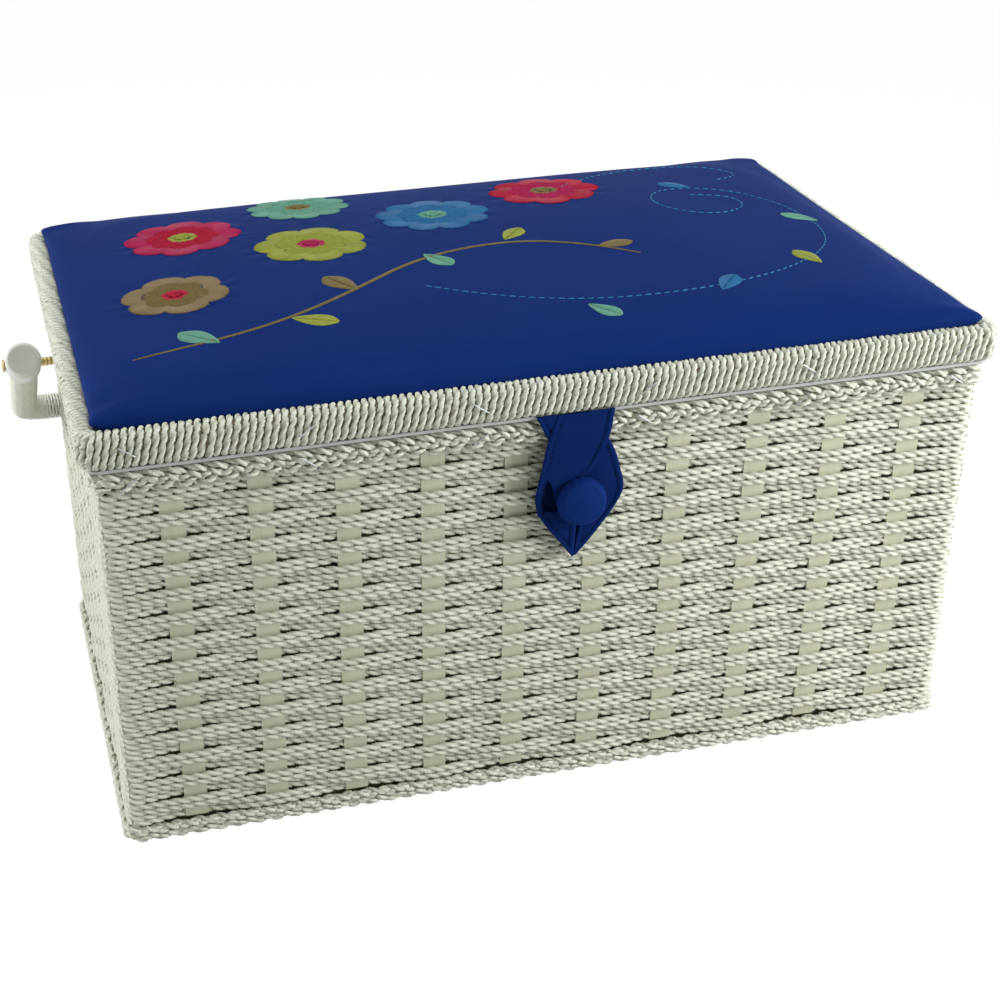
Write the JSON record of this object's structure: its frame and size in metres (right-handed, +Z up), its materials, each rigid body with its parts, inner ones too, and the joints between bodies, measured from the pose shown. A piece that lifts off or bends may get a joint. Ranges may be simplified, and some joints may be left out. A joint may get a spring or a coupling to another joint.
{
  "type": "sewing box",
  "caption": "Tapered wicker sewing box with a hinged padded lid, a folding carrying handle, a loop-and-button closure and a lift-out tray.",
  "frame": {"origin": "middle of the flat underside", "axes": "+X to the right seen from the closure side, +Y from the closure side to the hinged side, +Z up"},
  "size_m": [0.3472, 0.2173, 0.1723],
  "materials": {
    "rope": "twisted two-ply paper rope, off-white, satin",
    "cord": "fine cord wound in close turns, off-white",
    "stake": "flat split cane, ivory, smooth",
    "board": "plain thin wood board",
    "cane": "plain round cane",
    "card": "grey-brown board",
    "lining": "blue satin lining over card",
    "lid_lining": "pale woven lining over card",
    "wadding": "white foam wadding",
    "satin": "royal blue satin, soft sheen",
    "tray_plastic": "moulded white plastic",
    "cap_plastic": "moulded white plastic, semi-gloss",
    "brass": "bright brass plate",
    "steel": "bright steel wire"
  },
  "bodies": {
    "root": {"base_board": "board", "base_braid": "rope", "top_braid": "rope", "woven_front": "rope", "woven_back": "rope", "woven_left": "rope", "woven_right": "rope", "stakes_front": "stake", "stakes_back": "stake", "stakes_left": "stake", "stakes_right": "stake", "lining_front": "lining", "lining_back": "lining", "lining_left": "lining", "lining_right": "lining", "lining_floor": "lining", "tray_ledges": "lining", "hinge_pins": "steel", "hinge_leaves_body": "brass", "button_cap": "satin", "button_shank": "steel", "button_backing": "tray_plastic", "handle_screws": "brass", "wall_washers": "cap_plastic", "handle_nuts": "brass", "braid_staples": "steel"},
    "lid": {"lid_core": "board", "lid_band": "rope", "lid_board": "card", "lid_padding": "wadding", "lid_satin_cover": "satin", "lid_lining": "lid_lining", "pin_cushion": "satin", "lid_pocket": "lid_lining", "hinge_leaves_lid": "brass", "band_staples": "steel"},
    "handle": {"handle_core": "cane", "handle_wrap": "cord", "handle_caps": "cap_plastic"},
    "tray": {"tray": "tray_plastic"},
    "closure": {"closure_strap": "satin"}
  },
  "joints": [
    {"name": "lid_hinge", "type": "hinge", "parent": "root", "child": "lid", "pos_m": [0, 0.1065, 0.1463], "axis": [-1, 0, 0], "range_deg": [0, 100]},
    {"name": "handle_swing", "type": "hinge", "parent": "root", "child": "handle", "pos_m": [0, 0.01, 0.142], "axis": [1, 0, 0], "range_deg": [0, 190]},
    {"name": "closure_flip", "type": "hinge", "parent": "lid", "child": "closure", "pos_m": [0.006, -0.1053, 0.1475], "axis": [-1, 0, 0], "range_deg": [0, 120], "deforming": ["closure_strap"]},
    {"name": "tray_lift", "type": "slide", "parent": "root", "child": "tray", "axis": [0, 0, 1], "range_m": [0, 0.006]}
  ]
}
